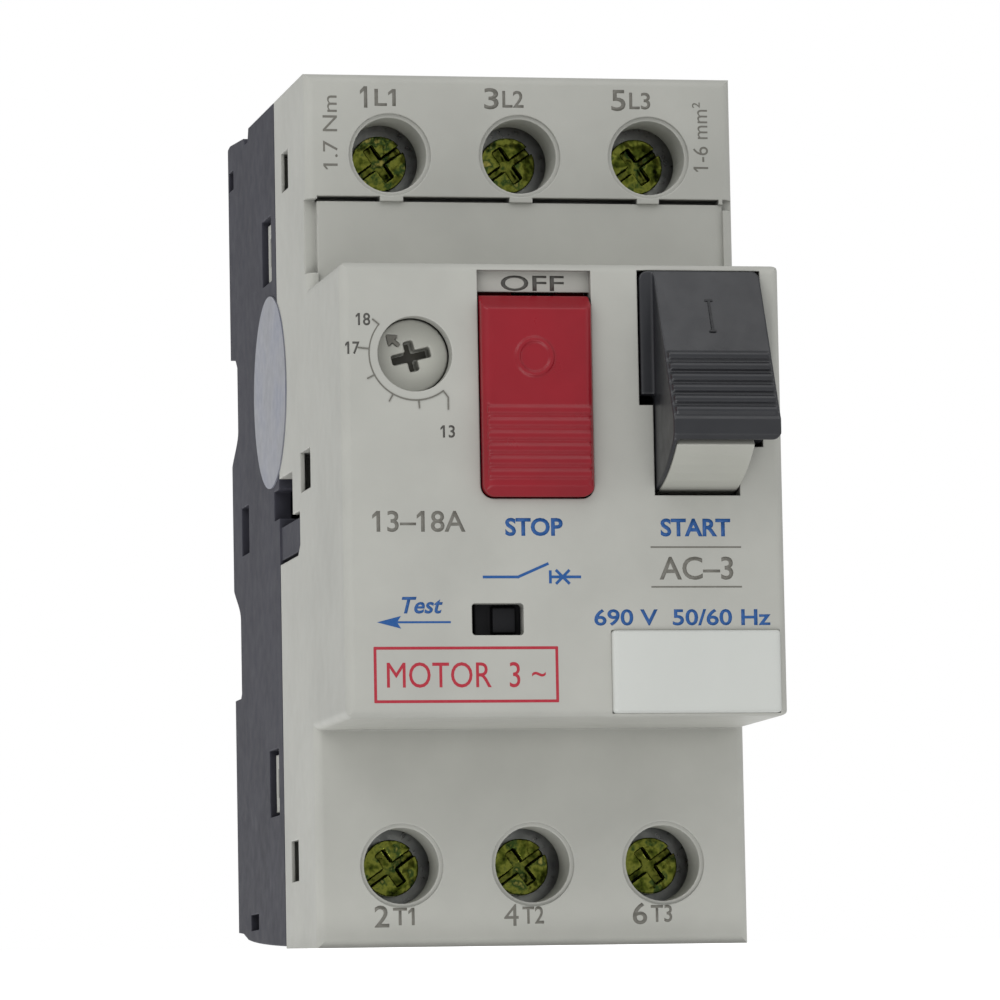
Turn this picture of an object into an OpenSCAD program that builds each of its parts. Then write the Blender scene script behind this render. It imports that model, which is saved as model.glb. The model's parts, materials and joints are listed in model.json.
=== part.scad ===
// Three-pole push-button motor protection breaker for a 35 mm rail.
// X runs to the right, Y to the rear and Z up. The origin is the centre of the rail seat.
// Every helper below takes x from the centre line, d forward from the rear plane,
// and z from the middle of the case height.

/* [Case] */
// Width of the case
case_w = 44.5; // [44:0.5:46]
// Height of the case
case_h = 89; // [88:0.5:90]
// Height of the raised cover between the terminal blocks
cover_h = 45; // [44.5:0.5:45.5]
// Depth of the dark base, from the rear plane
base_depth = 32; // [32:0.1:32.2]
// Depth of the terminal faces, from the rear plane
block_depth = 51; // [50.8:0.1:51.4]
// Depth of the cover face, from the rear plane
cover_depth = 70; // [69.9:0.1:70.2]
// Wall thickness of both shells
wall = 1.8; // [1.6:0.1:1.9]
// Rounding of the front edges
edge_r = 0.9; // [0.5:0.1:1.2]

/* [Rail] */
// Height of the rail centre above the middle of the case
rail_z = 2; // [1.8:0.1:2.2]
// Depth of the rail seat in the back of the case
seat_depth = 5.2; // [5.1:0.1:5.3]
// Downward travel of the rail latch
latch_travel = 2.8; // [2:0.1:2.8]

/* [Terminals] */
// Distance between neighbouring poles
pole_pitch = 13.5; // [13.4:0.1:13.6]
// Height of the terminal screws above and below the middle
screw_z = 36.2; // [36:0.1:36.4]
// Diameter of the screwdriver holes
access_d = 7.7; // [7.4:0.1:7.8]
// Diameter of the screw heads
head_d = 5.8; // [5.4:0.1:6]
// Diameter of the screw shanks
shank_d = 4; // [3.8:0.1:4]

/* [Start button] */
// How far the start button stands in front of the cover
start_proud = 8.4; // [8:0.1:8.6]
// Number of grip ribs on each button
rib_count = 6; // [4:1:6]

/* [Dial] */
// Diameter of the hole around the current dial
dial_hole_d = 7.5; // [7.4:0.1:7.6]
// Radial running clearance of the dial and of the button shaft
running_gap = 0.05; // [0.03:0.01:0.08]

/* [Hidden] */
$fn = 48;
hw = case_w / 2;
hh = case_h / 2;
ch = cover_h / 2;
poles = [-pole_pitch, 0, pole_pitch];
inner_w = hw - wall;
face_back = cover_depth - wall;
seam = 0.3;
gap = 0.15;
clasp_z = [29.6, -26.4];
partition_x = pole_pitch / 2;

// Button shaft and the buttons that turn on it
shaft_d = 66;
shaft_z = 18.4;
shaft_r = 1.2;
start_x = [9.25, 20.1];
lip_z = 6.1;
start_side_r = 14.2;
cheek = 0.4;
tongue_x = [start_x[0] + cheek + 0.05, 17.6];
tongue_r = 18.75;
stop_x = [-8.35, 2.85];
stop_z = [-0.8, 19.3];
stop_face = cover_depth + 1.5;

// Dial, test slot and marking plate
dial_x = -14.85;
dial_z = 13.4;
dial_r = dial_hole_d / 2 - running_gap;
slot_x = [-9.6, -4.4];
slot_z = [-14.45, -11.3];
plate_x = [4.5, 21.4];
plate_z = [-22.1, -14.1];
plate_seat = cover_depth - 0.6;

// Terminals
bar_d = [35.2, 36.8];
clamp_d = [41.4, 42.6];
head_top = 44.6;
guide_end = 45.5;
wire_d = [36.2, 42.6];

// Contacts
carrier_throw = 2.48;
bridge_d = [19.3, 20.5];
fixed_tip_top = 16.1;

// Release mechanism
toggle_d = 50;
toggle_z = -6;
lever_x = -1;
lever_z = -12;
strip_z = -26;
trip_bar_z = [-20.4, -17.4];

pole_names = ["1", "2", "3"];
pole_parts = ["contact_bridge_", "arc_chute_", "magnet_coil_", "magnet_yoke_", "magnet_plunger_",
              "bimetal_strip_", "heater_winding_", "line_screw_", "load_screw_",
              "line_clamp_", "load_clamp_"];

// ---------- placing helpers ----------

module at(x, d, z) translate([x, seat_depth - d, z - rail_z]) children();

module block(x, d, z)
    at(x[0], d[1], z[0]) cube([x[1] - x[0], d[1] - d[0], z[1] - z[0]]);

// Round bar that points out of the face
module peg(x, z, d, r)
    at(x, d[0], z) rotate([90, 0, 0]) cylinder(r = r, h = d[1] - d[0]);

// Round bar from left to right
module rod(x, d, z, r)
    at(x[0], d, z) rotate([0, 90, 0]) cylinder(r = r, h = x[1] - x[0]);

// Round bar that stands upright
module post(x, d, z, r)
    at(x, d, z[0]) cylinder(r = r, h = z[1] - z[0]);

// Outline drawn in (d, z), seen from the left and right sides
module side_profile(x)
    translate([x[0], seat_depth, -rail_z]) rotate([90, 0, 90])
        linear_extrude(x[1] - x[0]) mirror([1, 0, 0]) children();

// Outline drawn in (x, d), seen from above
module plan_profile(z)
    translate([0, seat_depth, z[0] - rail_z])
        linear_extrude(z[1] - z[0]) mirror([0, 1, 0]) children();

// Outline drawn in (x, z), seen from the front
module front_profile(d)
    at(0, d[0], 0) rotate([90, 0, 0]) linear_extrude(d[1] - d[0]) children();

module rounded(x, y, r) {
    translate([x[0] + r, y[0]]) square([x[1] - x[0] - 2 * r, y[1] - y[0]]);
    translate([x[0], y[0] + r]) square([x[1] - x[0], y[1] - y[0] - 2 * r]);
    for (cx = [x[0] + r, x[1] - r], cy = [y[0] + r, y[1] - r])
        translate([cx, cy]) circle(r);
}

// Block whose edges round the front face, with its rear edges left sharp
module soft_block(x, d, z, r) intersection() {
    side_profile(x) rounded([d[0] - 2 * r, d[1]], z, r);
    plan_profile(z) rounded(x, [d[0] - 2 * r, d[1]], r);
    block(x, d, z);
}

function flip(s, z) = s > 0 ? z : [-z[1], -z[0]];

function centred(c, half) = [c - half, c + half];

function arc(cx, cy, r, from, to, steps = 10) =
    [for (i = [0:steps]) let (a = from + (to - from) * i / steps) [cx + r * cos(a), cy + r * sin(a)]];

// Smooth step between two heights of the back wall
function s_curve(d0, z0, d1, z1, steps = 10) =
    [for (i = [0:steps]) let (t = i / steps, s = t * t * (3 - 2 * t)) [d0 + (d1 - d0) * s, z0 + (z1 - z0) * t]];

// Wound wire along +Z, from z = 0
function coil_ring(r, wire, pitch, a, sides) =
    [for (k = [0:sides - 1]) let (t = 360 * k / sides, q = r + wire / 2 * cos(t))
        [q * cos(a), q * sin(a), wire / 2 + pitch * a / 360 + wire / 2 * sin(t)]];

module coil(r, wire, turns, height, steps = 12, sides = 6) {
    n = round(turns * steps);
    pitch = (height - wire) / turns;
    points = [for (i = [0:n]) each coil_ring(r, wire, pitch, 360 * i / steps, sides)];
    walls = [for (i = [0:n - 1], k = [0:sides - 1]) let (m = (k + 1) % sides)
        [i * sides + k, i * sides + m, (i + 1) * sides + m, (i + 1) * sides + k]];
    start = [[for (k = [sides - 1:-1:0]) k]];
    finish = [[for (k = [0:sides - 1]) n * sides + k]];
    polyhedron(points, concat(start, walls, finish));
}

// ---------- base ----------

function base_outline() = concat(
    [[base_depth - seam, hh], [15, hh], [14.4, hh - 1.4], [12.2, hh - 1.4], [11.6, hh - 0.6],
     [2.5, hh], [1, hh - 0.2], [0, hh - 1.4], [0, 21.2], [4, 20.8], [seat_depth, 19.8]],
    s_curve(seat_depth, 12.9, 0, 8.3),
    s_curve(0, -3, seat_depth, -7.6),
    [[seat_depth, -15.6], [4.6, -16.1], [0, -16.1], [0, -40.3], [0.8, -41.2]],
    [for (i = [0:8]) let (t = i / 8) [4 + (base_depth - seam - 4) * t, -41.4 - 2.2 * sqrt(t)]]);

module base_body() intersection() {
    side_profile([-hw, hw]) polygon(base_outline());
    plan_profile([-hh, hh]) rounded([-hw, hw], [0, base_depth + 4], edge_r);
}

module base_pockets() {
    edge = partition_x - 0.6;
    for (x = [[-inner_w, -edge - 1.2], [-edge, edge], [edge + 1.2, inner_w]])
        block(x, [7.2, 33], [-40.2, 41.5]);
    block([-partition_x - 2, partition_x + 2], [17.5, 33], [-5, 5]);
}

// T-shaped channel that the rail latch slides in
module latch_channel(play, z) {
    block(centred(0, 5 + play), [-1, 2.6 + play], z);
    block(centred(0, 6.4 + play), [2.6 - play, 4.15 + play], z);
}

module base_details() {
    for (s = [-1, 1], zc = clasp_z) {
        x = s > 0 ? [inner_w - 1, hw + 1] : [-hw - 1, -inner_w + 1];
        block(x, [23.1, 29], centred(zc, 3.5));
    }
    for (s = [-1, 1]) {
        x = s > 0 ? [hw - 1.3, hw + 1] : [-hw - 1, -hw + 1.3];
        block(x, [6.9, 11.8], [-0.9, 4.3]);
        block(x, [1.4, 4.5], [39.5, 41.6]);
        block(x, [9.3, 14.5], [-41.3, -39.6]);
    }
    block([-hw - 1, -inner_w + 1], [28.5, 33], [0.8, 3.9]);
    latch_channel(gap, [-46, -15]);
}

module base_supports() {
    for (p = poles) {
        for (s = [-1, 1]) {
            block(centred(p, 4.5), [7, bar_d[0]], flip(s, s > 0 ? [39.8, 41] : [39.2, 40.4]));
            block(centred(p, 3), [7, 12.6], flip(s, [13, 15]));
        }
        block(centred(p, 3), [7, 13.2], [28, 34]);
        block(centred(p, 3), [7, 8], [-30, -22]);
    }
    lip = [base_depth - seam - 2, base_depth];
    for (s = [-1, 1], z = [[-39, -30.5], [-22, -6], [6, 25], [34, 41]])
        block(s > 0 ? [inner_w, inner_w + 0.8] : [-inner_w - 0.8, -inner_w], lip, z);
    // Hook beside the side cut-out of the front shell
    block([-hw + 0.2, -hw + 1.3], [30, 43.6], [-3.6, -0.2]);
    // Fixed lips over the upper flange of the rail
    for (x = [[-13, -6], [6, 13]]) block(x, [1.2, 3.9], [18.2, 21]);
    // Stub under the latch spring
    block(centred(0, 1.6), [1.4, 4.6], [-33.6, -32.2]);
}

module base_shell() color("#4b4b52") union() {
    difference() {
        base_body();
        base_pockets();
        base_details();
    }
    base_supports();
}

module rail_latch() color("#3c3c42") difference() {
    union() {
        block(centred(0, 5), [1.2, 2.6], [-41.6, -14.3]);
        block(centred(0, 6.4), [2.6, 4.15], [-41.6, -17]);
        block(centred(0, 5), [2.6, 4.15], [-17, -14.3]);
    }
    block(centred(0, 2.2), [0, 5], [-37.2, -23]);
    block(centred(0, 2), [0, 5], [-40.4, -39]);
}

module rail_latch_spring() color("silver")
    at(0, 2.85, -32.2) coil(1.15, 0.5, 6, 9.2);

// ---------- front shell ----------

module shell_body() {
    intersection() {
        soft_block([-hw, hw], [base_depth, cover_depth], [-ch, ch], edge_r);
        front_profile([base_depth - 1, cover_depth + 1]) rounded([-hw, hw], [-ch, ch], 0.8);
    }
    for (s = [-1, 1])
        soft_block([-hw, hw], [base_depth, block_depth], flip(s, [20, hh]), edge_r);
}

module shell_hollow() {
    block(centred(0, inner_w), [31, face_back], centred(0, ch - wall));
    block(centred(0, inner_w), [31, block_depth - wall], centred(0, 30.2));
    for (p = poles, s = [-1, 1]) {
        block(centred(p, 5.9), [31, guide_end], flip(s, [30, 42.7]));
        block(centred(p, 4.4), wire_d, flip(s, [42, hh + 1]));
    }
}

module terminal_holes() for (p = poles, s = [-1, 1]) {
    peg(p, s * screw_z, [guide_end - 1, block_depth + 1], access_d / 2);
    peg(p, s * screw_z, [block_depth - 0.35, block_depth + 1], access_d / 2 + 0.4);
}

// Blanking panel above the cover, with the slit that frames it
module blank_panel() {
    block([-21.05, 21.2], [block_depth - 0.4, block_depth + 1], [ch, 31.4]);
    for (x = [[-21.1, -14.6], [-12.2, -1.15], [1.24, 12.2], [14.5, 20.8]])
        block(x, [block_depth - 2.6, block_depth + 1], [31.4, 31.9]);
    block([-hw - 1, -21.05], [block_depth - 1.4, block_depth + 1], [24, 31.6]);
    block([21.2, hw + 1], [block_depth - 0.8, block_depth + 1], [30.8, 31.9]);
}

module cover_openings() {
    front = cover_depth + 1;
    peg(dial_x, dial_z, [66, front], dial_hole_d / 2);
    block([stop_x[0] - gap, stop_x[1] + gap], [66, front], [3, 19.75]);
    front_profile([66, front]) rounded([stop_x[0] - gap, stop_x[1] + gap], [stop_z[0] - gap, 8], 1.3);
    block([stop_x[0] - gap, stop_x[1] + gap], [cover_depth - 1, front], [19.7, 21.8]);
    block([7.7, start_x[0]], [66, front], [8.4, 21.9]);
    block([start_x[0] - gap, start_x[1] + gap], [66, front], [4.25, 21.9]);
    block([start_x[0] - gap, tongue_x[1] + 0.2], [66, front], [-0.6, 4.4]);
    front_profile([66, front]) rounded(slot_x, slot_z, 0.35);
    block([plate_x[0] - 0.1, plate_x[1] + 0.1], [plate_seat, front], [plate_z[0] - 0.1, plate_z[1] + 0.1]);
    for (x = [8, 18]) peg(x, -18, [66, front], 1.05);
}

module side_cuts() {
    block([-hw - 1, -inner_w + 0.4], [36.1, 40.3], [34.3, 38.4]);
    block([-hw - 1, -inner_w + 0.4], [36.1, 40.5], [-37.2, -33]);
    block([-hw - 1, -inner_w + 1], [45.2, 51.2], [2.1, 6.2]);
    // Undercuts behind the rear lips of the three windows
    block([-hw + 0.35, -inner_w + 0.4], [34, 38], [34.3, 38.4]);
    block([-hw + 0.35, -inner_w + 0.4], [34, 38], [-37.2, -33]);
    block([-hw + 0.45, -inner_w + 1], [42.2, 46], [2.1, 6.2]);
    block([-hw - 1, -inner_w + 1], [31, 40.1], [0.3, 4.9]);
    side_profile([-hw - 1, -inner_w + 1])
        polygon([[31, 0.4], [44.4, 0.4], [44.4, -3.1], [43, -4.1], [31, -4.1]]);
}

// Tongue with a C-shaped barb that snaps into a window of the base
module clasp(s, zc) {
    x = function(a, b) s > 0 ? [a, b] : [-b, -a];
    block(x(inner_w - 1.25, inner_w - gap), [23.5, 36], centred(zc, 3));
    block(x(inner_w - 1.25, inner_w + 0.5), [33, 36], centred(zc, 3));
    difference() {
        block(x(inner_w - 0.2, hw - 0.6), [23.6, 28.5], centred(zc, 3));
        block(x(inner_w + 0.4, hw), [24.8, 29], centred(zc, 1.5));
    }
}

module shell_ribs() {
    for (s = [-1, 1], zc = clasp_z) clasp(s, zc);
    for (z = [[-16.6, -15.6], [-9.8, -8.8]]) block([-12, -1], [64.6, face_back + 0.1], z);
    difference() {
        for (x = [[-10, -8.6], [4.9, 6.9]])
            block(x, [58, face_back + 0.1], [10, ch - wall + 0.1]);
        rod([-11, 8], shaft_d, shaft_z, shaft_r);
    }
}

module front_shell() color("#b0b1aa") union() {
    difference() {
        shell_body();
        shell_hollow();
        terminal_holes();
        blank_panel();
        cover_openings();
        side_cuts();
        rod([inner_w - 1, inner_w + 0.85], shaft_d, shaft_z, shaft_r);
    }
    shell_ribs();
}

module label_plate() color("#c6c7c2") union() {
    soft_block(plate_x, [plate_seat, cover_depth + 0.6], plate_z, 0.4);
    for (x = [8, 18]) peg(x, -18, [67.4, plate_seat + 0.1], 1.05);
}

module round_label() color("#91939b")
    rod([-hw - 0.15, -hw], 27.3, 14.5, 10.1);

// ---------- buttons ----------

module start_button() color("#3e3f44") difference() {
    tip = cover_depth + start_proud;
    slope = [lip_z - 21.8, tip - cover_depth - 0.4];
    union() {
        intersection() {
            union() {
                side_profile(start_x) polygon(concat(
                    [[65, 20.4], [68.4, 20.4], [68.4, 21.8], [cover_depth + 0.4, 21.8], [tip, lip_z],
                     [tip, 4.6], [tip - 0.4, 4.1], [tip - 0.7, 4.1], [76.1, 7.5]],
                    arc(shaft_d, shaft_z, start_side_r, -50, -95),
                    [[63.8, 17]]));
                block([7.9, start_x[0] + 0.1], [68.4, cover_depth + 0.3], [9.45, 21.8]);
            }
            front_profile([60, 80]) rounded([7.9, start_x[1]], [4.1, 21.8], 0.8);
        }
        // Dark cheek on the left of the tongue
        side_profile([start_x[0], start_x[0] + cheek]) polygon(concat(
            arc(shaft_d, shaft_z, tongue_r, -50, -98),
            arc(shaft_d, shaft_z, start_side_r - 0.3, -94, -51),
            [[75.5, 8.5], [76.5, 7.8]]));
        length = norm(slope);
        for (i = [0:rib_count - 1]) {
            s = (10.2 + 1.29 * i) / length;
            rod([start_x[0] + 0.3, start_x[1] - 0.3], cover_depth + 0.4 + slope[1] * s,
                21.8 + slope[0] * s, 0.46);
        }
    }
    rod([7, 21], shaft_d, shaft_z, shaft_r + running_gap);
    rod([12.4, 16.6], shaft_d, shaft_z, 2.3);
}

// Sector under the start button that closes the opening behind its lip
module start_tongue() color("#b5b5ad") side_profile(tongue_x) polygon(concat(
    arc(shaft_d, shaft_z, tongue_r, -52, -100),
    arc(shaft_d, shaft_z, start_side_r + gap, -95, -51)));

module stop_button() color("#8e202a") difference() {
    union() {
        intersection() {
            side_profile(stop_x) polygon([[69.6, stop_z[1]], [stop_face, stop_z[1] - 1.5], [stop_face, 0.2],
                [stop_face - 0.8, stop_z[0]], [67, stop_z[0]], [67, 2], [64, 5], [63.9, 16.8],
                [64.6, 20], [67.4, 20], [68, stop_z[1]]]);
            plan_profile([-5, 25]) rounded(stop_x, [50, stop_face], 0.9);
            front_profile([50, 75]) rounded(stop_x, [stop_z[0], 25], 1.2);
        }
        for (i = [0:rib_count - 1])
            rod([stop_x[0] + 0.4, stop_x[1] - 0.4], stop_face - 0.36, 1.35 + 1.27 * i, 0.62);
        difference() {
            peg(-3.1, 13, [stop_face - 0.1, stop_face + 0.2], 1.9);
            peg(-3.1, 13, [stop_face - 1, stop_face + 1], 1.55);
        }
    }
    rod([-9, 5], shaft_d, shaft_z, shaft_r + running_gap);
    rod([-4.5, -0.3], shaft_d, shaft_z, 2.3);
}

module button_shaft() color("silver") rod([-9.95, inner_w + 0.8], shaft_d, shaft_z, shaft_r);

// Torsion spring wound around the button shaft
module shaft_spring(x, turns)
    at(x[0], shaft_d, shaft_z) rotate([0, 90, 0]) coil(1.65, 0.5, turns, x[1] - x[0]);

module start_spring() color("silver") shaft_spring([12.8, 16.2], 5);

module stop_spring() color("silver") shaft_spring([-4.2, -0.6], 5);

// ---------- dial and test slider ----------

module adjustment_dial() color("#b9b9af") difference() {
    union() {
        peg(dial_x, dial_z, [60, 68], dial_r);
        peg(dial_x, dial_z, [64, 66], 4.2);
        peg(dial_x, dial_z, [44.3, 60.1], 1.5);
        peg(dial_x + 0.8, dial_z, [55, 60.1], 2.8);
    }
    at(dial_x, 66.2, dial_z) rotate([90, 0, 0]) rotate([0, 0, 13.7]) union() {
        translate([-2, -0.52, 0]) cube([4, 1.04, 3]);
        translate([-0.5, -1.55, 0]) cube([1, 3.1, 3]);
    }
    // Pointer cut towards the highest current at rest
    at(dial_x, 67.6, dial_z) rotate([90, 0, 0]) rotate([0, 0, 140]) linear_extrude(1)
        polygon([[3.3, 0], [2.3, 0.75], [2.3, 0.2], [1.6, 0.2], [1.6, -0.2], [2.3, -0.2], [2.3, -0.75]]);
}

module test_slider() color("#2c2d31") union() {
    block([-9, -2.6], [65.4, 67.9], [-15.4, -10]);
    block([-7.3, -5], [67.8, 68.8], [-14.1, -11.6]);
    block([-5.2, -4.2], [63, 65.5], [-15.2, -11.5]);
    block([-5.2, -4.2], [55, 63.1], [-19, -11.5]);
}

// ---------- release mechanism ----------

module mechanism_frame() color("#5a5a60") difference() {
    union() {
        block(centred(0, 20.2), [43, 44.2], centred(0, 19.9));
        for (x = [-partition_x, partition_x], z = [-17, 17])
            peg(x, z, [base_depth - seam, 43.1], 1.5);
        for (x = [[8, 9.2], [18, 19.2]]) block(x, [44.1, 53], [-9.5, -2.5]);
    }
    block([9.5, 17.5], [42, 45], [-5, 5]);
    rod([7, 20], toggle_d, toggle_z, 1);
    for (x = [-10, -3]) block([x - 2, x + 2], [42, 45], [-8, 8]);
}

module toggle_lever() color("#8f9094") difference() {
    union() {
        rod([12.4, 14.8], toggle_d, toggle_z, 2.4);
        side_profile([12.4, 14.8]) polygon([[50.6, -8.2], [59, -1.6], [58, -0.7], [49.4, -3.8]]);
        side_profile([12.4, 14.8]) polygon([[47.7, -6.6], [51.8, -4.6], [48, 0.3], [46.4, 0]]);
    }
    rod([12, 15], toggle_d, toggle_z, 1 + running_gap);
}

module toggle_pin() color("silver") rod([8, 19.2], toggle_d, toggle_z, 1);

module main_spring() color("silver")
    at(15, toggle_d, toggle_z) rotate([0, 90, 0]) coil(1.6, 0.5, 4, 2.8);

module latch_lever() color("#8f9094") difference() {
    front_profile([45.6, 47]) union() {
        translate([lever_x, lever_z]) circle(2);
        translate([lever_x, lever_z - 0.8]) square([12.5, 1.6]);
        translate([lever_x - 0.8, -19.4]) square([1.6, 19.4 + lever_z]);
    }
    peg(lever_x, lever_z, [45, 48], 0.9 + running_gap);
}

module latch_pin() color("silver") peg(lever_x, lever_z, [44.2, 49.5], 0.9);

module trip_bar() color("#c9b27c") union() {
    block([-17, 17], [47.2, 49], trip_bar_z);
    for (p = poles) block([p - 2, p - 0.8], [45.5, 49], [-28, trip_bar_z[0] + 0.1]);
    block([-6.4, -5.3], [48.9, 58], trip_bar_z);
    block([0, 1], [45.6, 47.3], [trip_bar_z[0], -18.4]);
}

// ---------- contacts ----------

module contact_carrier() color("#6b5f4c") difference() {
    union() {
        block([-18.8, 18.8], [23, 27], [-4, 4]);
        for (p = poles) block(centred(p, 4.2), [17.6, 23.1], [-3.5, 3.5]);
        block([12.2, 15], [26.9, 46.2], [-2, 2]);
    }
    for (p = poles) block(centred(p, 2.6), [bridge_d[0], 22.6], [-5, 5]);
}

module contact_bridge(p) color("#b87333") union() {
    block(centred(p, 2.5), bridge_d, [-15.4, 15.4]);
    for (s = [-1, 1]) block(centred(p, 1.8), [18.6, 19.4], flip(s, [12.6, 15.2]));
}

module contact_springs() color("silver") for (p = poles)
    at(p, bridge_d[1], 0) rotate([90, 0, 0]) coil(1.5, 0.5, 2.5, 2.1);

module fixed_contacts() color("#b87333") for (p = poles, s = [-1, 1]) {
    block(centred(p, 3), [12.6, 14], flip(s, s > 0 ? [12, 24.2] : [12, 21.5]));
    block(centred(p, 1.8), [13.9, fixed_tip_top], flip(s, [12.6, 15.2]));
}

module arc_chute(p) color("#8a8d90") for (s = [-1, 1]) {
    for (i = [0:6]) block(centred(p, 4.6), [17 + 2 * i, 17.8 + 2 * i], flip(s, [16.4, 21.2]));
    for (x = [[p - 5, p - 4.5], [p + 4.5, p + 5]]) block(x, [16.4, 31], flip(s, [16.4, 21.2]));
}

// ---------- overload and short-circuit releases ----------

module magnet_coil(p) color("#a5622c") at(p, 20, 26) difference() {
    union() {
        cylinder(r = 4, h = 12);
        for (i = [0:7]) translate([0, 0, 1.1 + 1.4 * i]) rotate_extrude()
            translate([3.9, 0]) circle(0.62);
    }
    translate([0, 0, -1]) cylinder(r = 2.2, h = 14);
}

module magnet_yoke(p) color("#7d8084") difference() {
    union() {
        block(centred(p, 5.2), [13.2, 14.4], [24.6, 39.6]);
        block(centred(p, 5.2), [14.3, 26], [38.4, 39.6]);
        block(centred(p, 5.2), [14.3, 26], [24.6, 25.7]);
    }
    post(p, 20, [24, 26], 1.5 + running_gap);
}

module magnet_plunger(p) color("silver") post(p, 20, [22.9, 34], 1.5);

module bimetal_strip(p) color("#9a8a6a") union() {
    block(centred(p, 0.4), [9.9, 48], centred(strip_z, 2));
    block(centred(p, 3), [8, 10], centred(strip_z, 4));
}

module heater_winding(p) color("#6d5a4a") difference() {
    union() {
        for (i = [0:8]) block(centred(p, 2.2), [12 + 2 * i, 13.1 + 2 * i], centred(strip_z, 3));
        block([p + 1.4, p + 2.2], [12, 29.1], centred(strip_z, 0.8));
    }
    block(centred(p, 1.4), [11, 30], centred(strip_z, 2.3));
}

// ---------- terminals ----------

module terminal_bars(s, turn) for (p = poles) difference() {
    union() {
        block(centred(p, 4.5), bar_d, flip(s, [turn, 42.6]));
        block(centred(p, 4.5), [27.5, bar_d[0] + 0.1], flip(s, [turn, turn + 1.2]));
    }
    peg(p, s * screw_z, [30, 40], shank_d / 2 + running_gap);
}

module line_terminals() color("#b87333") terminal_bars(1, 23);

module load_terminals() color("#b87333") terminal_bars(-1, 30.5);

module clamp_plate(p, s) color("#c9c9b0") difference() {
    block(centred(p, 4.6), clamp_d, flip(s, [32, 40.6]));
    peg(p, s * screw_z, [40, 44], shank_d / 2 + running_gap);
}

module terminal_screw(p, s) color("#a8b04a") difference() {
    union() {
        peg(p, s * screw_z, [33, clamp_d[1] + 0.1], shank_d / 2);
        peg(p, s * screw_z, [clamp_d[1], head_top], head_d / 2);
    }
    at(p, head_top - 1.1, s * screw_z) rotate([90, 0, 0]) rotate([0, 0, 35]) {
        translate([-head_d, -0.4, 0]) cube([2 * head_d, 0.8, 3]);
        translate([-0.55, -2, 0]) cube([1.1, 4, 3]);
    }
}

// ---------- assembly ----------

base_shell();
front_shell();
mechanism_frame();
rail_latch();
rail_latch_spring();
label_plate();
round_label();
start_button();
start_tongue();
stop_button();
button_shaft();
start_spring();
stop_spring();
adjustment_dial();
test_slider();
trip_bar();
toggle_lever();
toggle_pin();
main_spring();
latch_lever();
latch_pin();
contact_carrier();
contact_springs();
fixed_contacts();
line_terminals();
load_terminals();
for (i = [0:2]) {
    contact_bridge(poles[i]);
    arc_chute(poles[i]);
    magnet_coil(poles[i]);
    magnet_yoke(poles[i]);
    magnet_plunger(poles[i]);
    bimetal_strip(poles[i]);
    heater_winding(poles[i]);
    terminal_screw(poles[i], 1);
    terminal_screw(poles[i], -1);
    clamp_plate(poles[i], 1);
    clamp_plate(poles[i], -1);
}
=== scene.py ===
"""Looks of the motor protection breaker: materials, moulded buttons, printed marks, light and camera.

Everything is in metres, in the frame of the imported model: X to the right, Y to the rear, Z up,
with the origin at the centre of the rail seat. Places on the two front faces are given in
millimetres from the middle of the case, and turned into metres by MM.
"""

import json
import math

import bmesh
import bpy
from mathutils import Matrix, Vector


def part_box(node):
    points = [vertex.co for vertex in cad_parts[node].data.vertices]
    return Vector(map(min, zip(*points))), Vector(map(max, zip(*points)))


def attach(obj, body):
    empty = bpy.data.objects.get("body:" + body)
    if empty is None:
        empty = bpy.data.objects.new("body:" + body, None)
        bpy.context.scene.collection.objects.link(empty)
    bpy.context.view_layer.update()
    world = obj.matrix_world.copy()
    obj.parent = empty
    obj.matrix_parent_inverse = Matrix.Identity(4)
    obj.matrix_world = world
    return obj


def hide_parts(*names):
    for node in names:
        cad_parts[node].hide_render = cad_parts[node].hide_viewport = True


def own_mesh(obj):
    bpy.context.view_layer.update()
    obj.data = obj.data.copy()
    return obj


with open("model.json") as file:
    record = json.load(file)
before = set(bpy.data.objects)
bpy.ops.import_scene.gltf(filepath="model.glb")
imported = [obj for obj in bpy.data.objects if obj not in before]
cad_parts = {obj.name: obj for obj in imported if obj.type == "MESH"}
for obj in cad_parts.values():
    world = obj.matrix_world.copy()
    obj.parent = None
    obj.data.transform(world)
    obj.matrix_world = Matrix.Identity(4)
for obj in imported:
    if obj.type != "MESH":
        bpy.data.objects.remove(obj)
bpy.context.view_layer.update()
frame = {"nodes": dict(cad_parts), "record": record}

MM = 0.001

# ---------- places taken from the frame ----------

shell_low, shell_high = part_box("front_shell")
MID_Z = (shell_low.z + shell_high.z) / 2
COVER_Y = shell_low.y
# The terminal faces and the ledge above the stop button stand this far behind the cover face
BLOCK_Y = COVER_Y + 19 * MM
LEDGE_Y = COVER_Y + 1 * MM
FLOOR_Z = shell_low.z
FLOOR_EDGE_Y = COVER_Y + 16 * MM


# ---------- colour and node helpers ----------


def linear(rgb):
    """sRGB numbers from 0 to 255 as the linear colour that shaders take."""
    out = []
    for value in rgb:
        c = value / 255
        out.append(c / 12.92 if c <= 0.04045 else ((c + 0.055) / 1.055) ** 2.4)
    return (*out, 1.0)


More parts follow.
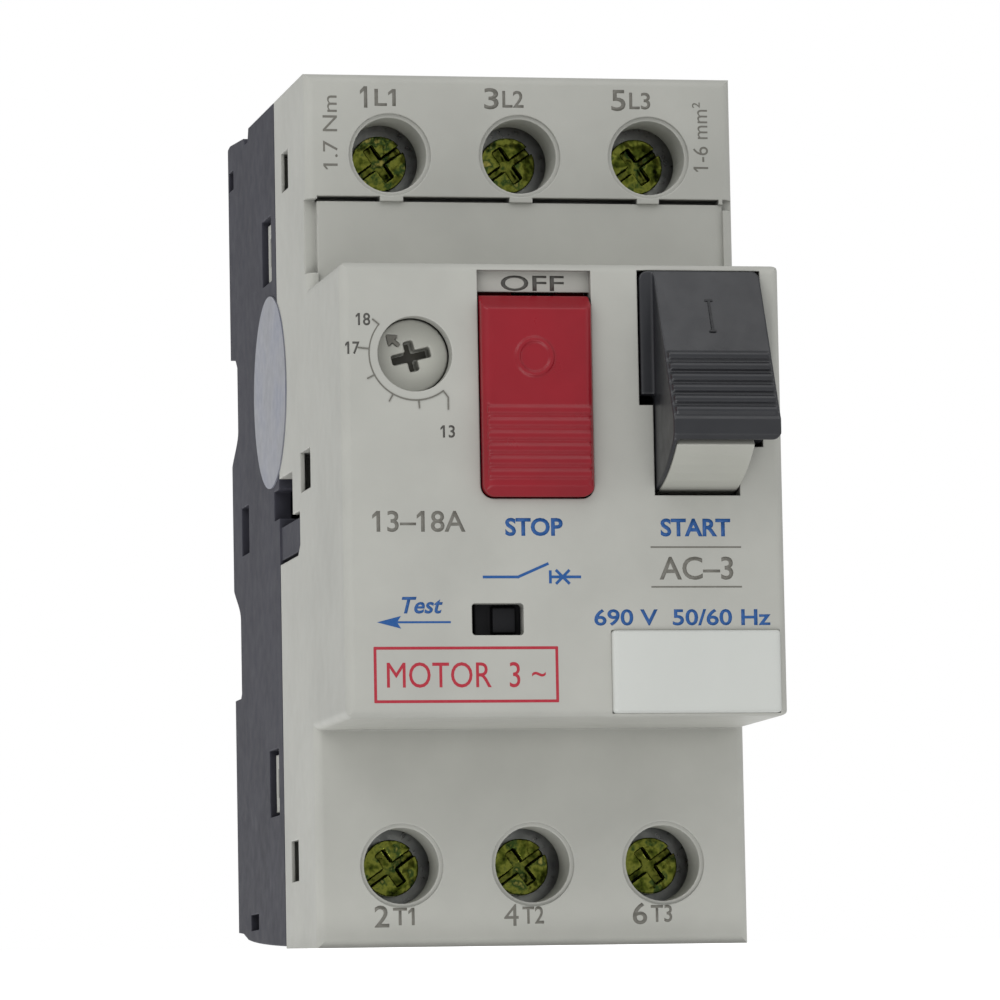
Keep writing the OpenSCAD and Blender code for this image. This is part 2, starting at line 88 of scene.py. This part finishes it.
class Nodes:
    """A small wrapper that adds and links shader nodes."""

    def __init__(self, name):
        self.material = bpy.data.materials.new(name)
        self.material.use_nodes = True
        self.tree = self.material.node_tree
        self.shader = self.tree.nodes["Principled BSDF"]
        self.coords = self.add("ShaderNodeTexCoord").outputs["Object"]

    def add(self, kind, **settings):
        node = self.tree.nodes.new(kind)
        for key, value in settings.items():
            setattr(node, key, value)
        return node

    def link(self, source, target):
        self.tree.links.new(source, target)

    def noise(self, size, detail=3.0, roughness=0.55, stretch=(1, 1, 1)):
        """Noise whose features are about size metres across."""
        mapping = self.add("ShaderNodeMapping")
        mapping.inputs["Scale"].default_value = stretch
        self.link(self.coords, mapping.inputs["Vector"])
        node = self.add("ShaderNodeTexNoise")
        node.inputs["Scale"].default_value = 1 / size
        node.inputs["Detail"].default_value = detail
        node.inputs["Roughness"].default_value = roughness
        self.link(mapping.outputs["Vector"], node.inputs["Vector"])
        return node.outputs["Fac"]

    def ramp(self, factor, stops):
        """Colour ramp through stops, each (position, linear colour)."""
        node = self.add("ShaderNodeValToRGB")
        elements = node.color_ramp.elements
        while len(elements) < len(stops):
            elements.new(0.5)
        for element, (position, colour) in zip(elements, stops):
            element.position = position
            element.color = colour
        self.link(factor, node.inputs["Fac"])
        return node.outputs["Color"]

    def remap(self, factor, low, high, from_low=0.3, from_high=0.7):
        """Stretches from_low..from_high to low..high, and holds what is past either end."""
        node = self.add("ShaderNodeMapRange")
        node.inputs["From Min"].default_value = from_low
        node.inputs["From Max"].default_value = from_high
        node.inputs["To Min"].default_value = low
        node.inputs["To Max"].default_value = high
        self.link(factor, node.inputs["Value"])
        return node.outputs["Result"]

    def mix(self, factor, a, b):
        """Mixes two colours, each a socket or a linear colour, by a socket or a number."""
        node = self.add("ShaderNodeMix", data_type="RGBA")
        # The node's sockets for colours share their names with others, so they go by number
        for key, value in ((0, factor), (6, a), (7, b)):
            if isinstance(value, bpy.types.NodeSocket):
                self.link(value, node.inputs[key])
            else:
                node.inputs[key].default_value = value
        return node.outputs[2]

    def bump(self, height, distance, strength=1.0, normal=None):
        """Normal of a surface that rises by distance where height is 1."""
        node = self.add("ShaderNodeBump")
        node.inputs["Distance"].default_value = distance
        node.inputs["Strength"].default_value = strength
        self.link(height, node.inputs["Height"])
        if normal is not None:
            self.link(normal, node.inputs["Normal"])
        return node.outputs["Normal"]

    def rounded_edge(self, radius):
        """Normal that rounds every sharp edge by radius."""
        node = self.add("ShaderNodeBevel", samples=6)
        node.inputs["Radius"].default_value = radius
        return node.outputs["Normal"]

    def painted_shade_mask(self, reach, most):
        """Painted shade: 0 on open faces, rising to most deep in holes and corners, where shade falls."""
        node = self.add("ShaderNodeAmbientOcclusion", samples=6)
        node.inputs["Distance"].default_value = reach
        return self.remap(node.outputs["AO"], most, 0.0, 0.12, 0.62)

    def edge_mask(self, radius):
        """1 along sharp edges and 0 on the open faces."""
        bevel = self.rounded_edge(radius)
        geometry = self.add("ShaderNodeNewGeometry")
        dot = self.add("ShaderNodeVectorMath", operation="DOT_PRODUCT")
        self.link(bevel, dot.inputs[0])
        self.link(geometry.outputs["Normal"], dot.inputs[1])
        return self.remap(dot.outputs["Value"], 1.0, 0.0, 0.72, 0.985)


GRAIN_SIZE = 0.16 * MM
FLOW_PATCH = 9 * MM
SHEEN_PATCH = 2.2 * MM
# Painted shade in the holes and corners of moulded plastic: how far it reaches, and how much of the
# colour is left there
CORNER_REACH = 5 * MM
CORNER_DARKNESS = 0.16


def moulded_plastic(name, colour, roughness, grain_depth=0.012 * MM, vary=0.05, edge_wear_and_highlight=0.25,
                    edge_radius=0.22 * MM, coat=0.0, specular=0.4, corner_shade=0.55):
    """Moulded plastic: a spark-eroded grain, flow mottling, edges lightened partly by wear and partly by
    painted highlight, and painted shade in corners and holes.
    """
    n = Nodes(name)
    base = linear(colour)
    dark = tuple(c * (1 - vary) for c in base[:3]) + (1,)
    light = tuple(min(1, c * (1 + vary)) for c in base[:3]) + (1,)
    tone = n.ramp(n.noise(FLOW_PATCH, 4), [(0.3, dark), (0.7, light)])
    normal = None
    if edge_radius:
        # Edges are lighter in noisy patches: partly rubbed wear, partly a painted highlight along the
        # rounded edges
        rubbed_and_lit = tuple(min(1, c * (1 + edge_wear_and_highlight) + 0.01) for c in base[:3]) + (1,)
        rub_and_highlight_mask = n.add("ShaderNodeMath", operation="MULTIPLY")
        n.link(n.edge_mask(edge_radius * 1.6), rub_and_highlight_mask.inputs[0])
        n.link(n.remap(n.noise(1.4 * MM, 3), 0.15, 0.9), rub_and_highlight_mask.inputs[1])
        tone = n.mix(rub_and_highlight_mask.outputs["Value"], tone, rubbed_and_lit)
        normal = n.rounded_edge(edge_radius)
    # Painted shade: the colour darkens deep in holes and corners, where shade falls
    shade_tone = tuple(c * CORNER_DARKNESS for c in base[:3]) + (1,)
    n.link(n.mix(n.painted_shade_mask(CORNER_REACH, corner_shade), tone, shade_tone), n.shader.inputs["Base Color"])
    gloss = n.remap(n.noise(SHEEN_PATCH, 4), roughness - 0.06, roughness + 0.07)
    n.link(gloss, n.shader.inputs["Roughness"])
    n.link(n.bump(n.noise(GRAIN_SIZE, 2, 0.6), grain_depth, 0.6, normal), n.shader.inputs["Normal"])
    n.shader.inputs["Specular IOR Level"].default_value = specular
    n.shader.inputs["Coat Weight"].default_value = coat
    n.shader.inputs["Coat Roughness"].default_value = 0.25
    return n.material


SCRATCH_WIDTH = 0.22 * MM
SCRATCH_DEPTH = 0.006 * MM
DENT_SIZE = 1.2 * MM


def metal(name, stops, roughness, patch, brushed=(1, 1, 1), dents=0.0):
    """Metal whose tint wanders through stops, with fine scratches along the brushed direction.

    dents is the depth of soft waves in the surface, which take the place of rounded edges.
    """
    n = Nodes(name)
    step = 1 / (len(stops) - 1)
    spread = [(0.28 + 0.44 * i * step, linear(c)) for i, c in enumerate(stops)]
    tint = n.ramp(n.noise(patch, 3), spread)
    # Painted shade: the metal darkens to a near-black tint of its first stop deep in holes and recesses
    metal_shade_tint = tuple(c * 0.1 for c in linear(stops[0])[:3]) + (1,)
    n.link(n.mix(n.painted_shade_mask(3 * MM, 0.8), tint, metal_shade_tint), n.shader.inputs["Base Color"])
    n.shader.inputs["Metallic"].default_value = 1.0
    n.link(n.remap(n.noise(0.6 * MM, 4), roughness - 0.07, roughness + 0.1), n.shader.inputs["Roughness"])
    normal = n.bump(n.noise(DENT_SIZE, 1), dents, 1.0) if dents else n.rounded_edge(0.12 * MM)
    scratches = n.noise(SCRATCH_WIDTH, 3, 0.6, brushed)
    n.link(n.bump(scratches, SCRATCH_DEPTH, 0.7, normal), n.shader.inputs["Normal"])
    return n.material


def ink(name, colour, fading):
    """Pad-printed ink with a dull sheen, lighter by fading where the film is thin."""
    n = Nodes(name)
    base = linear(colour)
    thin = tuple(min(1, c + fading) for c in base[:3]) + (1,)
    n.link(n.ramp(n.noise(0.35 * MM, 3), [(0.35, base), (0.8, thin)]), n.shader.inputs["Base Color"])
    n.link(n.remap(n.noise(0.5 * MM, 2), 0.38, 0.55), n.shader.inputs["Roughness"])
    return n.material


def foil_label():
    """Bluish-grey round label: satin film with a soft cloudy sheen and fine lines."""
    n = Nodes("round_label_film")
    cloud = n.noise(5 * MM, 3, 0.5)
    tint = n.ramp(cloud, [(0.3, linear((108, 113, 132))), (0.55, linear((122, 124, 134))),
                          (0.75, linear((112, 114, 122)))])
    n.link(tint, n.shader.inputs["Base Color"])
    n.link(n.remap(n.noise(1.2 * MM, 4), 0.3, 0.5), n.shader.inputs["Roughness"])
    n.shader.inputs["Sheen Weight"].default_value = 0.15
    n.shader.inputs["Coat Weight"].default_value = 0.35
    n.shader.inputs["Coat Roughness"].default_value = 0.3
    n.link(n.bump(n.noise(0.5 * MM, 2), 0.004 * MM, 0.5), n.shader.inputs["Normal"])
    return n.material


def floor_material():
    """Nearly white, with a glow of its own so that the floor fades into the paper."""
    n = Nodes("studio_floor")
    tone = n.ramp(n.noise(60 * MM, 2), [(0.3, (0.86, 0.86, 0.86, 1)), (0.7, (0.9, 0.9, 0.9, 1))])
    n.link(tone, n.shader.inputs["Base Color"])
    n.shader.inputs["Roughness"].default_value = 0.75
    n.shader.inputs["Emission Color"].default_value = (1, 1, 1, 1)
    n.shader.inputs["Emission Strength"].default_value = 0.6
    return n.material


# ---------- materials, one for each of the record's slots ----------

GREEN_BRASS = [(26, 32, 14), (84, 94, 32), (134, 138, 58), (50, 76, 38), (178, 168, 88)]
MATERIALS = {
    "grey_housing": moulded_plastic("grey_housing", (184, 184, 177), 0.5, corner_shade=0.75),
    # The dark housing's edges carry a strong painted highlight
    "dark_housing": moulded_plastic("dark_housing", (60, 60, 68), 0.56, grain_depth=0.02 * MM,
                                    vary=0.12, edge_wear_and_highlight=0.9, specular=0.16),
    "black_button": moulded_plastic("black_button", (38, 39, 43), 0.36, vary=0.16, edge_radius=0,
                                    specular=0.6),
    "red_button": moulded_plastic("red_button", (146, 22, 36), 0.33, vary=0.1, edge_radius=0,
                                  grain_depth=0.006 * MM, specular=0.35, coat=0.1),
    "light_plastic": moulded_plastic("light_plastic", (184, 184, 175), 0.42, edge_radius=0),
    "white_plate": moulded_plastic("white_plate", (208, 210, 205), 0.38, vary=0.02, edge_radius=0,
                                   grain_depth=0.006 * MM, corner_shade=0.2),
    "label_foil": foil_label(),
    "inner_plastic": moulded_plastic("inner_plastic", (52, 52, 56), 0.5, vary=0.08),
    "brown_plastic": moulded_plastic("brown_plastic", (104, 86, 66), 0.5, vary=0.12),
    "amber_plastic": moulded_plastic("amber_plastic", (196, 172, 112), 0.4, vary=0.08),
    "passivated_steel": metal("passivated_steel", GREEN_BRASS, 0.16, 1.5 * MM, dents=0.28 * MM),
    "plated_steel": metal("plated_steel", [(150, 152, 150), (186, 187, 182)], 0.32, 3 * MM, (1, 1, 9)),
    "spring_steel": metal("spring_steel", [(128, 130, 134), (168, 170, 174)], 0.28, 2 * MM),
    "copper": metal("copper", [(168, 98, 62), (204, 128, 86), (152, 84, 52)], 0.3, 4 * MM),
    "coil_wire": metal("coil_wire", [(142, 66, 34), (176, 92, 50)], 0.24, 2 * MM),
    "bimetal": metal("bimetal", [(150, 134, 104), (176, 162, 134)], 0.34, 3 * MM, (1, 9, 1)),
}
BLACK_SLIDER = moulded_plastic("black_slider", (24, 24, 27), 0.5, edge_radius=0, specular=0.25)
INK_GREY = ink("print_grey", (112, 110, 102), 0.03)
INK_DARK = ink("print_dark", (74, 73, 68), 0.03)
INK_BLUE = ink("print_blue", (14, 82, 150), 0.02)
INK_RED = ink("print_red", (176, 32, 52), 0.02)
INK_BLACK = ink("engraved_black", (26, 27, 30), 0.01)
# Painted shade: a dark film laid on the floor of the dial's recess
PAINTED_RECESS_SHADE = ink("painted_recess_shade", (70, 68, 58), 0.01)

SLOT_OF = {s["node"]: s["material_slot"] for s in frame["record"]["subparts"]}
for node_name, cad_object in frame["nodes"].items():
    cad_object.data.materials.clear()
    cad_object.data.materials.append(MATERIALS[SLOT_OF[node_name]])


# ---------- moulded pieces, rounded by remeshing the CAD shape ----------


def keep(obj, body):
    """Common ending of a visible piece."""
    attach(obj, body)


def new_object(name, mesh, material):
    """Object in the scene with that mesh and one material."""
    obj = bpy.data.objects.new(name, mesh)
    bpy.context.scene.collection.objects.link(obj)
    mesh.materials.clear()
    mesh.materials.append(material)
    return obj


def applied(obj):
    """Replaces obj's mesh with its modified one."""
    graph = bpy.context.evaluated_depsgraph_get()
    mesh = bpy.data.meshes.new_from_object(obj.evaluated_get(graph))
    obj.modifiers.clear()
    obj.data = mesh


def moulded(node, body, voxel, rounds, grow=0.0, material=None):
    """Piece with the CAD node's shape and softly rounded edges. voxel and grow are in millimetres."""
    mesh = frame["nodes"][node].data.copy()
    mesh.transform(Matrix.Scale(1 / MM, 4))
    obj = new_object(node + "_moulded", mesh, material or MATERIALS[SLOT_OF[node]])
    remesh = obj.modifiers.new("remesh", "REMESH")
    remesh.mode = "VOXEL"
    remesh.voxel_size = voxel
    remesh.use_smooth_shade = True
    smooth = obj.modifiers.new("smooth", "SMOOTH")
    smooth.factor = 0.5
    smooth.iterations = rounds
    applied(obj)
    if grow:
        for vertex in obj.data.vertices:
            vertex.co.x += vertex.normal.x * grow
            vertex.co.z += vertex.normal.z * grow
    obj.data.transform(Matrix.Scale(MM, 4))
    obj.data.polygons.foreach_set("use_smooth", [True] * len(obj.data.polygons))
    keep(obj, body)
    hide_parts(node)


moulded("start_button", "start_button", 0.12, 3)
moulded("start_tongue", "start_button", 0.15, 3)
moulded("stop_button", "stop_button", 0.12, 3)
moulded("adjustment_dial", "adjustment_dial", 0.11, 2)
moulded("label_plate", "case", 0.16, 2, grow=0.1)
moulded("test_slider", "test_slider", 0.14, 2, material=BLACK_SLIDER)
for end in ("line", "load"):
    for number in (1, 2, 3):
        screw = f"{end}_screw_{number}"
        moulded(screw, screw, 0.1, 2)


def latch_spring():
    """Coil spring of the rail latch: a smooth-shaded copy of its CAD shape that stays with the case."""
    node = "rail_latch_spring"
    mesh = frame["nodes"][node].data.copy()
    mesh.polygons.foreach_set("use_smooth", [True] * len(mesh.polygons))
    spring = new_object("latch_spring", mesh, MATERIALS[SLOT_OF[node]])
    keep(spring, "case")
    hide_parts(node)
    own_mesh(spring)


latch_spring()


# ---------- printed marks ----------

PRINT_THICKNESS = 0.03 * MM
PRINT_PROUD = 0.012 * MM
# Lines that cross are printed one just over the other
PRINT_STEP = 0.0016 * MM
STANDING = Matrix.Rotation(math.radians(90), 4, "X")


def face_point(x, z, plane_y):
    """Place of a printed point, which is x and z millimetres from the middle of the case."""
    return Vector((x * MM, plane_y - PRINT_PROUD, MID_Z + z * MM))


def text_mark(name, words, left, right, bottom, top, plane_y, material, bold=0.0, slant=0.0, turn=0):
    """Words that fill the box left..right by bottom..top, in millimetres from the case centre."""
    curve = bpy.data.curves.new(name, "FONT")
    curve.body = words
    curve.shear = slant
    curve.offset = bold
    curve.resolution_u = 4
    source = bpy.data.objects.new(name + "_curve", curve)
    bpy.context.scene.collection.objects.link(source)
    graph = bpy.context.evaluated_depsgraph_get()
    mesh = bpy.data.meshes.new_from_object(source.evaluated_get(graph))
    bpy.data.objects.remove(source)
    if "1" in words:
        flag_ones(mesh)
    xs = [v.co.x for v in mesh.vertices]
    ys = [v.co.y for v in mesh.vertices]
    wide, tall = (right - left, top - bottom) if not turn else (top - bottom, right - left)
    centre = Matrix.Translation((-(min(xs) + max(xs)) / 2, -(min(ys) + max(ys)) / 2, 0))
    scale = Matrix.Diagonal((wide * MM / (max(xs) - min(xs)), tall * MM / (max(ys) - min(ys)), 1, 1))
    spin = Matrix.Rotation(math.radians(turn), 4, "Z")
    place = Matrix.Translation(face_point((left + right) / 2, (bottom + top) / 2, plane_y))
    mesh.transform(place @ STANDING @ spin @ scale @ centre)
    thicken(mesh)
    keep(new_object(name, mesh, material), "case")


def island(vertex):
    """Every vertex joined to this one."""
    found = {vertex}
    waiting = [vertex]
    while waiting:
        for edge in waiting.pop().link_edges:
            for other in edge.verts:
                if other not in found:
                    found.add(other)
                    waiting.append(other)
    return found


def flag_ones(mesh):
    """Adds the short flag of each figure 1, which the built-in font draws as a bare bar."""
    bm = bmesh.new()
    bm.from_mesh(mesh)
    bmesh.ops.remove_doubles(bm, verts=bm.verts, dist=1e-5)
    seen = set()
    for vertex in bm.verts[:]:
        if vertex in seen:
            continue
        group = island(vertex)
        seen |= group
        x = min(v.co.x for v in group)
        y = max(v.co.y for v in group)
        wide = max(v.co.x for v in group) - x
        tall = y - min(v.co.y for v in group)
        # Only a figure 1 is one tall bar with few corners
        if len(group) > 8 or tall < 3 * wide:
            continue
        reach = 0.2 * tall
        corners = [(x, y), (x - reach, y - reach), (x - reach, y - reach - wide), (x, y - 1.25 * wide)]
        bm.faces.new([bm.verts.new((cx, cy, 0)) for cx, cy in corners])
    bm.to_mesh(mesh)
    bm.free()


def deepen(bm):
    """Gives flat faces the print's thickness, into the surface behind them."""
    made = bmesh.ops.extrude_face_region(bm, geom=bm.faces[:])
    moved = [g for g in made["geom"] if isinstance(g, bmesh.types.BMVert)]
    bmesh.ops.translate(bm, verts=moved, vec=(0, PRINT_THICKNESS, 0))
    bmesh.ops.recalc_face_normals(bm, faces=bm.faces)


def thicken(mesh):
    """Turns flat words into a thin solid print."""
    bm = bmesh.new()
    bm.from_mesh(mesh)
    bmesh.ops.remove_doubles(bm, verts=bm.verts, dist=1e-7)
    deepen(bm)
    bm.to_mesh(mesh)
    bm.free()


def stroke_faces(bm, points, width, plane_y, step):
    """Adds a flat line of that width through points, which are (x, z) in millimetres.

    Each stretch stands a little prouder than the one before. Returns how proud the last one is.
    """
    half = width / 2
    for (ax, az), (bx, bz) in zip(points, points[1:]):
        along = Vector((bx - ax, bz - az)).normalized()
        side = Vector((-along.y, along.x)) * half
        reach = along * half * 0.7
        start = Vector((ax, az)) - reach
        end = Vector((bx, bz)) + reach
        corners = [start + side, start - side, end - side, end + side]
        step += PRINT_STEP
        bm.faces.new([bm.verts.new(face_point(c.x, c.y, plane_y - step)) for c in corners])
    return step


def stroke_mark(name, lines, width, plane_y, material, fills=(), body="case"):
    """Lines, and filled outlines, printed on one face as one piece."""
    bm = bmesh.new()
    step = 0.0
    for points in lines:
        step = stroke_faces(bm, points, width, plane_y, step)
    for outline in fills:
        step += PRINT_STEP
        bm.faces.new([bm.verts.new(face_point(x, z, plane_y - step)) for x, z in outline])
    deepen(bm)
    mesh = bpy.data.meshes.new(name)
    bm.to_mesh(mesh)
    bm.free()
    keep(new_object(name, mesh, material), body)


def polar(cx, cz, radius, degrees):
    """Point at that radius and angle around a centre."""
    a = math.radians(degrees)
    return (cx + radius * math.cos(a), cz + radius * math.sin(a))


def cover_marks():
    """The words and symbols printed on the raised cover."""
    text_mark("mark_start", "START", 9.6, 16.7, -4.7, -2.9, COVER_Y, INK_BLUE, bold=0.03)
    text_mark("mark_stop", "STOP", -6.1, -0.3, -4.65, -2.85, COVER_Y, INK_BLUE, bold=0.03)
    text_mark("mark_test", "Test", -16.6, -12.5, -12.3, -10.65, COVER_Y, INK_BLUE, bold=0.02, slant=0.25)
    text_mark("mark_range", "13–18A", -19.4, -10.1, -4.25, -2.15, COVER_Y, INK_GREY, bold=0.012)
    text_mark("mark_rating", "690 V  50/60 Hz", 2.7, 20.6, -13.55, -11.9, COVER_Y, INK_BLUE, bold=0.018)
    text_mark("mark_duty", "AC–3", 9.4, 16.9, -9.0, -6.7, COVER_Y, INK_GREY, bold=0.012)
    text_mark("mark_off", "OFF", -5.9, 0.5, 19.85, 21.4, LEDGE_Y, INK_DARK, bold=0.008)
    stroke_mark("duty_lines", [[(8.6, -5.75), (17.7, -5.75)], [(8.6, -9.7), (17.7, -9.7)]],
                0.16, COVER_Y, INK_GREY)
    z = -13.15
    stroke_mark("test_arrow", [[(-17.6, z), (-11.8, z)]], 0.2, COVER_Y, INK_BLUE,
                fills=[[(-19.1, z), (-16.7, z + 0.62), (-17.1, z), (-16.7, z - 0.62)]])


def switch_symbol():
    """Contact symbol with its trip cross, in blue."""
    z = -8.7
    cross_x = -0.4
    arm = 0.62
    lines = [[(-8.35, z), (-4.9, z), (-1.9, z + 1.3)], [(-1.65, z), (1.35, z)],
             [(-1.65, z - 0.55), (-1.65, z + 0.55)],
             [(cross_x - arm, z - arm), (cross_x + arm, z + arm)],
             [(cross_x - arm, z + arm), (cross_x + arm, z - arm)]]
    stroke_mark("switch_symbol", lines, 0.27, COVER_Y, INK_BLUE)


def rating_box():
    """Red frame with a plain motor mark in it."""
    left, right, bottom, top = -19.35, -1.15, -20.95, -15.7
    frame_line = [(left, bottom), (right, bottom), (right, top), (left, top), (left, bottom)]
    stroke_mark("rating_frame", [frame_line], 0.28, COVER_Y, INK_RED)
    text_mark("mark_motor", "MOTOR  3 ∼", -18.2, -2.3, -19.6, -17.1, COVER_Y, INK_RED)


def dial_scale():
    """Arc, ticks and numbers around the current dial, the dial's dark pointer, and a dark sheet of
    painted shade on the floor of its recess.
    """
    low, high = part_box("adjustment_dial")
    cx = (low.x + high.x) / 2 / MM
    cz = ((low.z + high.z) / 2 - MID_Z) / MM
    radius = 4.6
    first, last, steps = 141.0, 307.0, 5
    arc = [polar(cx, cz, radius, first + (last - first) * i / 40) for i in range(41)]
    ticks = []
    for i in range(steps + 1):
        angle = first + (last - first) * i / steps
        reach = 1.1 if i == 1 else 0.8
        ticks.append([polar(cx, cz, radius, angle), polar(cx, cz, radius + reach, angle)])
    end = polar(cx, cz, radius + 0.8, last)
    ticks[-1] = [polar(cx, cz, radius, last), end, (end[0], end[1] - 1.2)]
    stroke_mark("dial_scale", [arc] + ticks, 0.13, COVER_Y, INK_GREY)
    for words, x, z in (("18", -5.15, 3.4), ("17", -6.25, 0.55), ("13", 3.15, -7.7)):
        text_mark("dial_" + words, words, cx + x - 0.72, cx + x + 0.72, cz + z - 0.62, cz + z + 0.62,
                  COVER_Y, INK_DARK, bold=0.015)
    aim = 140.0
    head = [polar(cx, cz, 3.3, aim), polar(cx, cz, 2.45, aim + 17), polar(cx, cz, 2.45, aim - 17)]
    tail = [polar(cx, cz, 2.4, aim), polar(cx, cz, 1.7, aim)]
    stroke_mark("dial_pointer", [tail], 0.35, low.y, INK_GREY, fills=[head], body="adjustment_dial")
    lean = 13.7
    arms = [[polar(cx, cz, 1.65, lean + 180), polar(cx, cz, 1.65, lean)],
            [polar(cx, cz, 1.2, lean - 90), polar(cx, cz, 1.2, lean + 90)]]
    # A dark film on the floor of the dial's cross recess is painted shade, darkening the recess as shade
    # would
    stroke_mark("dial_recess_painted_shade", arms, 0.9, COVER_Y + 3.8 * MM, PAINTED_RECESS_SHADE, body="adjustment_dial")


def terminal_marks():
    """Terminal numbers and the conductor data printed on the two terminal faces."""
    pitch = 13.3
    for pole, (upper, lower) in enumerate((("1L1", "2T1"), ("3L2", "4T2"), ("5L3", "6T3"))):
        shift = pitch * pole
        for words, left, bottom in ((upper, -16.9, 41.0), (lower, -16.4, -42.4)):
            # A figure 1 is narrow, and a bold 4 would close its own hole
            start, end = (0.4, 1.15) if words[0] == "1" else (0.0, 1.5)
            bold = 0.0 if words[0] == "4" else 0.012
            text_mark("terminal_" + words + "_digit", words[0], left + start + shift, left + end + shift,
                      bottom, bottom + 2.2, BLOCK_Y, INK_GREY, bold=bold)
            text_mark("terminal_" + words, words[1:], left + 1.9 + shift, left + 4.1 + shift,
                      bottom + 0.2, bottom + 1.95, BLOCK_Y, INK_GREY, bold=0.012)
    text_mark("mark_torque", "1.7 Nm", -20.4, -18.9, 34.6, 42.2, BLOCK_Y, INK_GREY, turn=90)
    text_mark("mark_wire", "1-6 mm²", 18.2, 19.8, 34.8, 42.0, BLOCK_Y, INK_GREY, turn=90)


cover_marks()
switch_symbol()
rating_box()
dial_scale()
terminal_marks()


def start_stroke():
    """Upright stroke with short bars at its ends, cut in the slope of the start button."""
    low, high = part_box("start_button")
    top = Vector((0, COVER_Y - 0.4 * MM, MID_Z + 21.8 * MM))
    tip = Vector((0, low.y, MID_Z + 6.6 * MM))
    slope = (tip - top).normalized()
    across = Vector((1, 0, 0))
    outward = slope.cross(across)
    if outward.y > 0:
        outward = -outward
    middle = top + slope * 5.4 * MM + across * 14.5 * MM
    thick = 0.06 * MM
    bm = bmesh.new()
    # Each bar stands a hair prouder than the last, so that no two faces share a plane
    for along, wide, long in ((0.0, 0.26, 3.9), (-1.85, 0.8, 0.24), (1.85, 0.7, 0.24)):
        size = (across * wide * MM, slope * long * MM, outward * thick)
        basis = Matrix(size).transposed().to_4x4()
        place = Matrix.Translation(middle + slope * along * MM + outward * (along + 2) * 0.001 * MM)
        made = bmesh.ops.create_cube(bm, size=1, matrix=place @ basis)
        edges = {e for v in made["verts"] for e in v.link_edges}
        bmesh.ops.bevel(bm, geom=list(edges), offset=0.02 * MM, segments=2, affect="EDGES")
    mesh = bpy.data.meshes.new("start_stroke")
    bm.to_mesh(mesh)
    bm.free()
    keep(new_object("start_stroke", mesh, INK_BLACK), "start_button")


start_stroke()


# ---------- camera, light and floor ----------

CAMERA_LENS = 227.76
CAMERA_SENSOR = 36
CAMERA_YAW = math.radians(-11.436)
CAMERA_PITCH = math.radians(5.65)
CAMERA_ROLL = math.radians(-1.067)
CAMERA_PLACE = Vector((-0.12964, COVER_Y - 0.60838, MID_Z - 0.06249))

# name, place, size and watts of each soft light; all of them face the middle of the cover
LIGHTS = (
    ("key_light", (-0.4, -0.46, 0.42), (0.5, 0.4), 1.1),
    ("fill_light", (0.6, -0.5, 0.1), (0.5, 0.6), 0.35),
    ("low_light", (-0.2, -0.5, -0.42), (0.6, 0.3), 1.35),
    ("top_light", (0.12, -0.36, 0.52), (0.4, 0.4), 0.5),
)


def camera():
    """Long lens, slightly left of the part and below its middle, as in a catalogue view."""
    data = bpy.data.cameras.new("camera")
    data.lens = CAMERA_LENS
    data.sensor_width = CAMERA_SENSOR
    data.clip_start = 0.01
    obj = bpy.data.objects.new("camera", data)
    bpy.context.scene.collection.objects.link(obj)
    upright = Matrix.Rotation(math.radians(90) + CAMERA_PITCH, 4, "X")
    turn = Matrix.Rotation(CAMERA_YAW, 4, "Z") @ upright
    obj.matrix_world = Matrix.Translation(CAMERA_PLACE) @ turn @ Matrix.Rotation(CAMERA_ROLL, 4, "Z")
    bpy.context.scene.camera = obj


def soft_light(name, place, target, size, watts):
    """Rectangular light at place that faces target."""
    data = bpy.data.lights.new(name, "AREA")
    data.shape = "RECTANGLE"
    data.size, data.size_y = size
    data.energy = watts
    obj = bpy.data.objects.new(name, data)
    bpy.context.scene.collection.objects.link(obj)
    direction = (Vector(target) - Vector(place)).to_track_quat("-Z", "Y").to_matrix().to_4x4()
    obj.matrix_world = Matrix.Translation(Vector(place)) @ direction


def studio():
    """White paper behind the part, dimmer as a light source than as a backdrop, and soft lights."""
    world = bpy.data.worlds.new("studio")
    bpy.context.scene.world = world
    world.use_nodes = True
    tree = world.node_tree
    lighting = tree.nodes["Background"]
    lighting.inputs["Color"].default_value = (0.98, 0.99, 1, 1)
    lighting.inputs["Strength"].default_value = 0.52
    paper = tree.nodes.new("ShaderNodeBackground")
    paper.inputs["Color"].default_value = (1, 1, 1, 1)
    choice = tree.nodes.new("ShaderNodeMixShader")
    tree.links.new(tree.nodes.new("ShaderNodeLightPath").outputs["Is Camera Ray"], choice.inputs[0])
    tree.links.new(lighting.outputs[0], choice.inputs[1])
    tree.links.new(paper.outputs[0], choice.inputs[2])
    tree.links.new(choice.outputs[0], tree.nodes["World Output"].inputs["Surface"])
    for name, place, size, watts in LIGHTS:
        soft_light(name, place, (0, COVER_Y, MID_Z), size, watts)
    scene = bpy.context.scene
    scene.view_settings.view_transform = "Standard"
    scene.view_settings.look = "None"


def floor():
    """Pale table top whose front edge runs under the part, level with its lower end."""
    bm = bmesh.new()
    bmesh.ops.create_cube(bm, size=1)
    width, depth, thick = 1.6, 1.4, 2 * MM
    place = Matrix.Translation((0, FLOOR_EDGE_Y + depth / 2, FLOOR_Z - thick / 2))
    bm.transform(place @ Matrix.Diagonal((width, depth, thick, 1)))
    mesh = bpy.data.meshes.new("floor")
    bm.to_mesh(mesh)
    bm.free()
    new_object("floor", mesh, floor_material())


camera()
studio()
floor()
